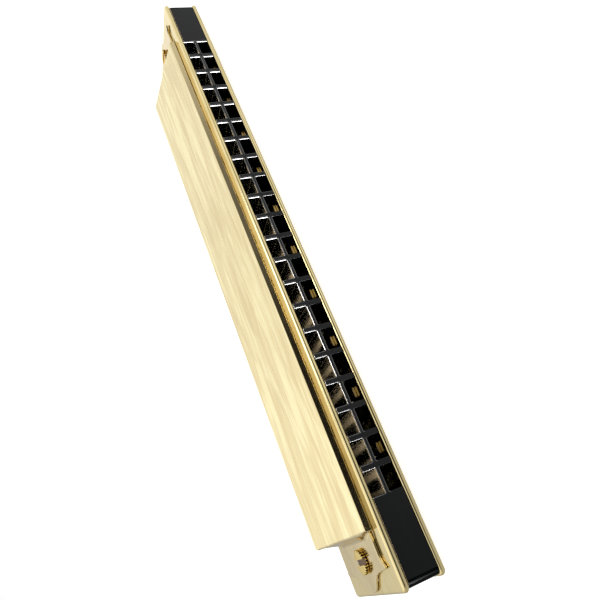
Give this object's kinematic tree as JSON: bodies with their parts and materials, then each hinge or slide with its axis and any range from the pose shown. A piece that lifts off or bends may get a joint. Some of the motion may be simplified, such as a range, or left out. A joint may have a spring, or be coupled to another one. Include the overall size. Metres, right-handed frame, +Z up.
{
  "type": "tremolo harmonica",
  "caption": "Long tremolo harmonica: black comb with two rows of square chambers, brass reed plates, gold sheet covers with end tabs and bolts, and bending reeds.",
  "frame": {"origin": "centre of the underside of the bounding box, on the surface that the lower cover lies on", "axes": "+X along the instrument towards its high notes, -Y the mouth side, +Z up; the lower cover's flat face lies on z = 0, so the comb is tipped by the slope of the cover, mouth side down"},
  "size_m": [0.162, 0.029, 0.0198],
  "materials": {
    "comb_plastic": "glossy moulded black plastic",
    "cover_gold": "champagne gold plating, softly engraved top, polished edges",
    "plate_brass": "gold plated, polished",
    "reed_brass": "fine lengthwise scratched brass",
    "nail_brass": "turned brass",
    "bolt_gold": "bright gold plating"
  },
  "bodies": {
    "root": {"comb": "comb_plastic", "upper_reed_plate": "plate_brass", "upper_cover": "cover_gold", "upper_plate_nail_1": "nail_brass", "upper_plate_nail_2": "nail_brass", "upper_plate_nail_3": "nail_brass", "upper_plate_nail_4": "nail_brass", "lower_reed_plate": "plate_brass", "lower_cover": "cover_gold", "lower_plate_nail_1": "nail_brass", "lower_plate_nail_2": "nail_brass", "lower_plate_nail_3": "nail_brass", "lower_plate_nail_4": "nail_brass", "left_cover_bolt": "bolt_gold", "left_cover_nut": "bolt_gold", "right_cover_bolt": "bolt_gold", "right_cover_nut": "bolt_gold"},
    "upper_reed_01": {"upper_reed_01": "reed_brass"},
    "lower_reed_01": {"lower_reed_01": "reed_brass"},
    "upper_reed_02": {"upper_reed_02": "reed_brass"},
    "lower_reed_02": {"lower_reed_02": "reed_brass"},
    "upper_reed_03": {"upper_reed_03": "reed_brass"},
    "lower_reed_03": {"lower_reed_03": "reed_brass"},
    "upper_reed_04": {"upper_reed_04": "reed_brass"},
    "lower_reed_04": {"lower_reed_04": "reed_brass"},
    "upper_reed_05": {"upper_reed_05": "reed_brass"},
    "lower_reed_05": {"lower_reed_05": "reed_brass"},
    "upper_reed_06": {"upper_reed_06": "reed_brass"},
    "lower_reed_06": {"lower_reed_06": "reed_brass"},
    "upper_reed_07": {"upper_reed_07": "reed_brass"},
    "lower_reed_07": {"lower_reed_07": "reed_brass"},
    "upper_reed_08": {"upper_reed_08": "reed_brass"},
    "lower_reed_08": {"lower_reed_08": "reed_brass"},
    "upper_reed_09": {"upper_reed_09": "reed_brass"},
    "lower_reed_09": {"lower_reed_09": "reed_brass"},
    "upper_reed_10": {"upper_reed_10": "reed_brass"},
    "lower_reed_10": {"lower_reed_10": "reed_brass"},
    "upper_reed_11": {"upper_reed_11": "reed_brass"},
    "lower_reed_11": {"lower_reed_11": "reed_brass"},
    "upper_reed_12": {"upper_reed_12": "reed_brass"},
    "lower_reed_12": {"lower_reed_12": "reed_brass"},
    "upper_reed_13": {"upper_reed_13": "reed_brass"},
    "lower_reed_13": {"lower_reed_13": "reed_brass"},
    "upper_reed_14": {"upper_reed_14": "reed_brass"},
    "lower_reed_14": {"lower_reed_14": "reed_brass"},
    "upper_reed_15": {"upper_reed_15": "reed_brass"},
    "lower_reed_15": {"lower_reed_15": "reed_brass"},
    "upper_reed_16": {"upper_reed_16": "reed_brass"},
    "lower_reed_16": {"lower_reed_16": "reed_brass"},
    "upper_reed_17": {"upper_reed_17": "reed_brass"},
    "lower_reed_17": {"lower_reed_17": "reed_brass"},
    "upper_reed_18": {"upper_reed_18": "reed_brass"},
    "lower_reed_18": {"lower_reed_18": "reed_brass"},
    "upper_reed_19": {"upper_reed_19": "reed_brass"},
    "lower_reed_19": {"lower_reed_19": "reed_brass"},
    "upper_reed_20": {"upper_reed_20": "reed_brass"},
    "lower_reed_20": {"lower_reed_20": "reed_brass"},
    "upper_reed_21": {"upper_reed_21": "reed_brass"},
    "lower_reed_21": {"lower_reed_21": "reed_brass"}
  },
  "joints": [
    {"name": "upper_reed_01_swing", "type": "hinge", "parent": "root", "child": "upper_reed_01", "pos_m": [-0.0615, -0.00874, 0.01115], "axis": [-1, 0, 0], "range_deg": [-3, 3], "stiffness_Nm_per_rad": 0.007177},
    {"name": "lower_reed_01_swing", "type": "hinge", "parent": "root", "child": "lower_reed_01", "pos_m": [-0.0615, -0.00722, 0.00188], "axis": [1, 0, 0], "range_deg": [-3, 3], "stiffness_Nm_per_rad": 0.007177},
    {"name": "upper_reed_02_swing", "type": "hinge", "parent": "root", "child": "upper_reed_02", "pos_m": [-0.0553, -0.01022, 0.00964], "axis": [-1, 0, 0], "range_deg": [-2.95, 2.95], "stiffness_Nm_per_rad": 0.007354},
    {"name": "lower_reed_02_swing", "type": "hinge", "parent": "root", "child": "lower_reed_02", "pos_m": [-0.0553, -0.0091, 0.00283], "axis": [1, 0, 0], "range_deg": [-2.95, 2.95], "stiffness_Nm_per_rad": 0.007354},
    {"name": "upper_reed_03_swing", "type": "hinge", "parent": "root", "child": "upper_reed_03", "pos_m": [-0.0491, -0.00874, 0.01115], "axis": [-1, 0, 0], "range_deg": [-2.9, 2.9], "stiffness_Nm_per_rad": 0.00754},
    {"name": "lower_reed_03_swing", "type": "hinge", "parent": "root", "child": "lower_reed_03", "pos_m": [-0.0491, -0.00722, 0.00188], "axis": [1, 0, 0], "range_deg": [-2.9, 2.9], "stiffness_Nm_per_rad": 0.00754},
    {"name": "upper_reed_04_swing", "type": "hinge", "parent": "root", "child": "upper_reed_04", "pos_m": [-0.0429, -0.01022, 0.00964], "axis": [-1, 0, 0], "range_deg": [-2.85, 2.85], "stiffness_Nm_per_rad": 0.007736},
    {"name": "lower_reed_04_swing", "type": "hinge", "parent": "root", "child": "lower_reed_04", "pos_m": [-0.0429, -0.0091, 0.00283], "axis": [1, 0, 0], "range_deg": [-2.85, 2.85], "stiffness_Nm_per_rad": 0.007736},
    {"name": "upper_reed_05_swing", "type": "hinge", "parent": "root", "child": "upper_reed_05", "pos_m": [-0.0367, -0.00874, 0.01115], "axis": [-1, 0, 0], "range_deg": [-2.8, 2.8], "stiffness_Nm_per_rad": 0.007942},
    {"name": "lower_reed_05_swing", "type": "hinge", "parent": "root", "child": "lower_reed_05", "pos_m": [-0.0367, -0.00722, 0.00188], "axis": [1, 0, 0], "range_deg": [-2.8, 2.8], "stiffness_Nm_per_rad": 0.007942},
    {"name": "upper_reed_06_swing", "type": "hinge", "parent": "root", "child": "upper_reed_06", "pos_m": [-0.0305, -0.01022, 0.00964], "axis": [-1, 0, 0], "range_deg": [-2.75, 2.75], "stiffness_Nm_per_rad": 0.008159},
    {"name": "lower_reed_06_swing", "type": "hinge", "parent": "root", "child": "lower_reed_06", "pos_m": [-0.0305, -0.0091, 0.00283], "axis": [1, 0, 0], "range_deg": [-2.75, 2.75], "stiffness_Nm_per_rad": 0.008159},
    {"name": "upper_reed_07_swing", "type": "hinge", "parent": "root", "child": "upper_reed_07", "pos_m": [-0.0243, -0.00874, 0.01115], "axis": [-1, 0, 0], "range_deg": [-2.7, 2.7], "stiffness_Nm_per_rad": 0.008389},
    {"name": "lower_reed_07_swing", "type": "hinge", "parent": "root", "child": "lower_reed_07", "pos_m": [-0.0243, -0.00722, 0.00188], "axis": [1, 0, 0], "range_deg": [-2.7, 2.7], "stiffness_Nm_per_rad": 0.008389},
    {"name": "upper_reed_08_swing", "type": "hinge", "parent": "root", "child": "upper_reed_08", "pos_m": [-0.0181, -0.01022, 0.00964], "axis": [-1, 0, 0], "range_deg": [-2.65, 2.65], "stiffness_Nm_per_rad": 0.008631},
    {"name": "lower_reed_08_swing", "type": "hinge", "parent": "root", "child": "lower_reed_08", "pos_m": [-0.0181, -0.0091, 0.00283], "axis": [1, 0, 0], "range_deg": [-2.65, 2.65], "stiffness_Nm_per_rad": 0.008631},
    {"name": "upper_reed_09_swing", "type": "hinge", "parent": "root", "child": "upper_reed_09", "pos_m": [-0.0119, -0.00874, 0.01115], "axis": [-1, 0, 0], "range_deg": [-2.6, 2.6], "stiffness_Nm_per_rad": 0.008889},
    {"name": "lower_reed_09_swing", "type": "hinge", "parent": "root", "child": "lower_reed_09", "pos_m": [-0.0119, -0.00722, 0.00188], "axis": [1, 0, 0], "range_deg": [-2.6, 2.6], "stiffness_Nm_per_rad": 0.008889},
    {"name": "upper_reed_10_swing", "type": "hinge", "parent": "root", "child": "upper_reed_10", "pos_m": [-0.0057, -0.01022, 0.00964], "axis": [-1, 0, 0], "range_deg": [-2.55, 2.55], "stiffness_Nm_per_rad": 0.009162},
    {"name": "lower_reed_10_swing", "type": "hinge", "parent": "root", "child": "lower_reed_10", "pos_m": [-0.0057, -0.0091, 0.00283], "axis": [1, 0, 0], "range_deg": [-2.55, 2.55], "stiffness_Nm_per_rad": 0.009162},
    {"name": "upper_reed_11_swing", "type": "hinge", "parent": "root", "child": "upper_reed_11", "pos_m": [0.0005, -0.00874, 0.01115], "axis": [-1, 0, 0], "range_deg": [-2.5, 2.5], "stiffness_Nm_per_rad": 0.009452},
    {"name": "lower_reed_11_swing", "type": "hinge", "parent": "root", "child": "lower_reed_11", "pos_m": [0.0005, -0.00722, 0.00188], "axis": [1, 0, 0], "range_deg": [-2.5, 2.5], "stiffness_Nm_per_rad": 0.009452},
    {"name": "upper_reed_12_swing", "type": "hinge", "parent": "root", "child": "upper_reed_12", "pos_m": [0.0067, -0.01022, 0.00964], "axis": [-1, 0, 0], "range_deg": [-2.45, 2.45], "stiffness_Nm_per_rad": 0.009762},
    {"name": "lower_reed_12_swing", "type": "hinge", "parent": "root", "child": "lower_reed_12", "pos_m": [0.0067, -0.0091, 0.00283], "axis": [1, 0, 0], "range_deg": [-2.45, 2.45], "stiffness_Nm_per_rad": 0.009762},
    {"name": "upper_reed_13_swing", "type": "hinge", "parent": "root", "child": "upper_reed_13", "pos_m": [0.0129, -0.00874, 0.01115], "axis": [-1, 0, 0], "range_deg": [-2.4, 2.4], "stiffness_Nm_per_rad": 0.010092},
    {"name": "lower_reed_13_swing", "type": "hinge", "parent": "root", "child": "lower_reed_13", "pos_m": [0.0129, -0.00722, 0.00188], "axis": [1, 0, 0], "range_deg": [-2.4, 2.4], "stiffness_Nm_per_rad": 0.010092},
    {"name": "upper_reed_14_swing", "type": "hinge", "parent": "root", "child": "upper_reed_14", "pos_m": [0.0191, -0.01022, 0.00964], "axis": [-1, 0, 0], "range_deg": [-2.35, 2.35], "stiffness_Nm_per_rad": 0.010446},
    {"name": "lower_reed_14_swing", "type": "hinge", "parent": "root", "child": "lower_reed_14", "pos_m": [0.0191, -0.0091, 0.00283], "axis": [1, 0, 0], "range_deg": [-2.35, 2.35], "stiffness_Nm_per_rad": 0.010446},
    {"name": "upper_reed_15_swing", "type": "hinge", "parent": "root", "child": "upper_reed_15", "pos_m": [0.0253, -0.00874, 0.01115], "axis": [-1, 0, 0], "range_deg": [-2.3, 2.3], "stiffness_Nm_per_rad": 0.010825},
    {"name": "lower_reed_15_swing", "type": "hinge", "parent": "root", "child": "lower_reed_15", "pos_m": [0.0253, -0.00722, 0.00188], "axis": [1, 0, 0], "range_deg": [-2.3, 2.3], "stiffness_Nm_per_rad": 0.010825},
    {"name": "upper_reed_16_swing", "type": "hinge", "parent": "root", "child": "upper_reed_16", "pos_m": [0.0315, -0.01022, 0.00964], "axis": [-1, 0, 0], "range_deg": [-2.25, 2.25], "stiffness_Nm_per_rad": 0.011233},
    {"name": "lower_reed_16_swing", "type": "hinge", "parent": "root", "child": "lower_reed_16", "pos_m": [0.0315, -0.0091, 0.00283], "axis": [1, 0, 0], "range_deg": [-2.25, 2.25], "stiffness_Nm_per_rad": 0.011233},
    {"name": "upper_reed_17_swing", "type": "hinge", "parent": "root", "child": "upper_reed_17", "pos_m": [0.0377, -0.00874, 0.01115], "axis": [-1, 0, 0], "range_deg": [-2.2, 2.2], "stiffness_Nm_per_rad": 0.011673},
    {"name": "lower_reed_17_swing", "type": "hinge", "parent": "root", "child": "lower_reed_17", "pos_m": [0.0377, -0.00722, 0.00188], "axis": [1, 0, 0], "range_deg": [-2.2, 2.2], "stiffness_Nm_per_rad": 0.011673},
    {"name": "upper_reed_18_swing", "type": "hinge", "parent": "root", "child": "upper_reed_18", "pos_m": [0.0439, -0.01022, 0.00964], "axis": [-1, 0, 0], "range_deg": [-2.15, 2.15], "stiffness_Nm_per_rad": 0.012149},
    {"name": "lower_reed_18_swing", "type": "hinge", "parent": "root", "child": "lower_reed_18", "pos_m": [0.0439, -0.0091, 0.00283], "axis": [1, 0, 0], "range_deg": [-2.15, 2.15], "stiffness_Nm_per_rad": 0.012149},
    {"name": "upper_reed_19_swing", "type": "hinge", "parent": "root", "child": "upper_reed_19", "pos_m": [0.0501, -0.00874, 0.01115], "axis": [-1, 0, 0], "range_deg": [-2.1, 2.1], "stiffness_Nm_per_rad": 0.012665},
    {"name": "lower_reed_19_swing", "type": "hinge", "parent": "root", "child": "lower_reed_19", "pos_m": [0.0501, -0.00722, 0.00188], "axis": [1, 0, 0], "range_deg": [-2.1, 2.1], "stiffness_Nm_per_rad": 0.012665},
    {"name": "upper_reed_20_swing", "type": "hinge", "parent": "root", "child": "upper_reed_20", "pos_m": [0.0563, -0.01022, 0.00964], "axis": [-1, 0, 0], "range_deg": [-2.05, 2.05], "stiffness_Nm_per_rad": 0.013227},
    {"name": "lower_reed_20_swing", "type": "hinge", "parent": "root", "child": "lower_reed_20", "pos_m": [0.0563, -0.0091, 0.00283], "axis": [1, 0, 0], "range_deg": [-2.05, 2.05], "stiffness_Nm_per_rad": 0.013227},
    {"name": "upper_reed_21_swing", "type": "hinge", "parent": "root", "child": "upper_reed_21", "pos_m": [0.0625, -0.00874, 0.01115], "axis": [-1, 0, 0], "range_deg": [-2, 2], "stiffness_Nm_per_rad": 0.013841},
    {"name": "lower_reed_21_swing", "type": "hinge", "parent": "root", "child": "lower_reed_21", "pos_m": [0.0625, -0.00722, 0.00188], "axis": [1, 0, 0], "range_deg": [-2, 2], "stiffness_Nm_per_rad": 0.013841}
  ],
  "couplings": [
    {"joint": "lower_reed_01_swing", "follows": "upper_reed_01_swing", "ratio": 1},
    {"joint": "lower_reed_02_swing", "follows": "upper_reed_02_swing", "ratio": 1},
    {"joint": "lower_reed_03_swing", "follows": "upper_reed_03_swing", "ratio": 1},
    {"joint": "lower_reed_04_swing", "follows": "upper_reed_04_swing", "ratio": 1},
    {"joint": "lower_reed_05_swing", "follows": "upper_reed_05_swing", "ratio": 1},
    {"joint": "lower_reed_06_swing", "follows": "upper_reed_06_swing", "ratio": 1},
    {"joint": "lower_reed_07_swing", "follows": "upper_reed_07_swing", "ratio": 1},
    {"joint": "lower_reed_08_swing", "follows": "upper_reed_08_swing", "ratio": 1},
    {"joint": "lower_reed_09_swing", "follows": "upper_reed_09_swing", "ratio": 1},
    {"joint": "lower_reed_10_swing", "follows": "upper_reed_10_swing", "ratio": 1},
    {"joint": "lower_reed_11_swing", "follows": "upper_reed_11_swing", "ratio": 1},
    {"joint": "lower_reed_12_swing", "follows": "upper_reed_12_swing", "ratio": 1},
    {"joint": "lower_reed_13_swing", "follows": "upper_reed_13_swing", "ratio": 1},
    {"joint": "lower_reed_14_swing", "follows": "upper_reed_14_swing", "ratio": 1},
    {"joint": "lower_reed_15_swing", "follows": "upper_reed_15_swing", "ratio": 1},
    {"joint": "lower_reed_16_swing", "follows": "upper_reed_16_swing", "ratio": 1},
    {"joint": "lower_reed_17_swing", "follows": "upper_reed_17_swing", "ratio": 1},
    {"joint": "lower_reed_18_swing", "follows": "upper_reed_18_swing", "ratio": 1},
    {"joint": "lower_reed_19_swing", "follows": "upper_reed_19_swing", "ratio": 1},
    {"joint": "lower_reed_20_swing", "follows": "upper_reed_20_swing", "ratio": 1},
    {"joint": "lower_reed_21_swing", "follows": "upper_reed_21_swing", "ratio": 1}
  ]
}
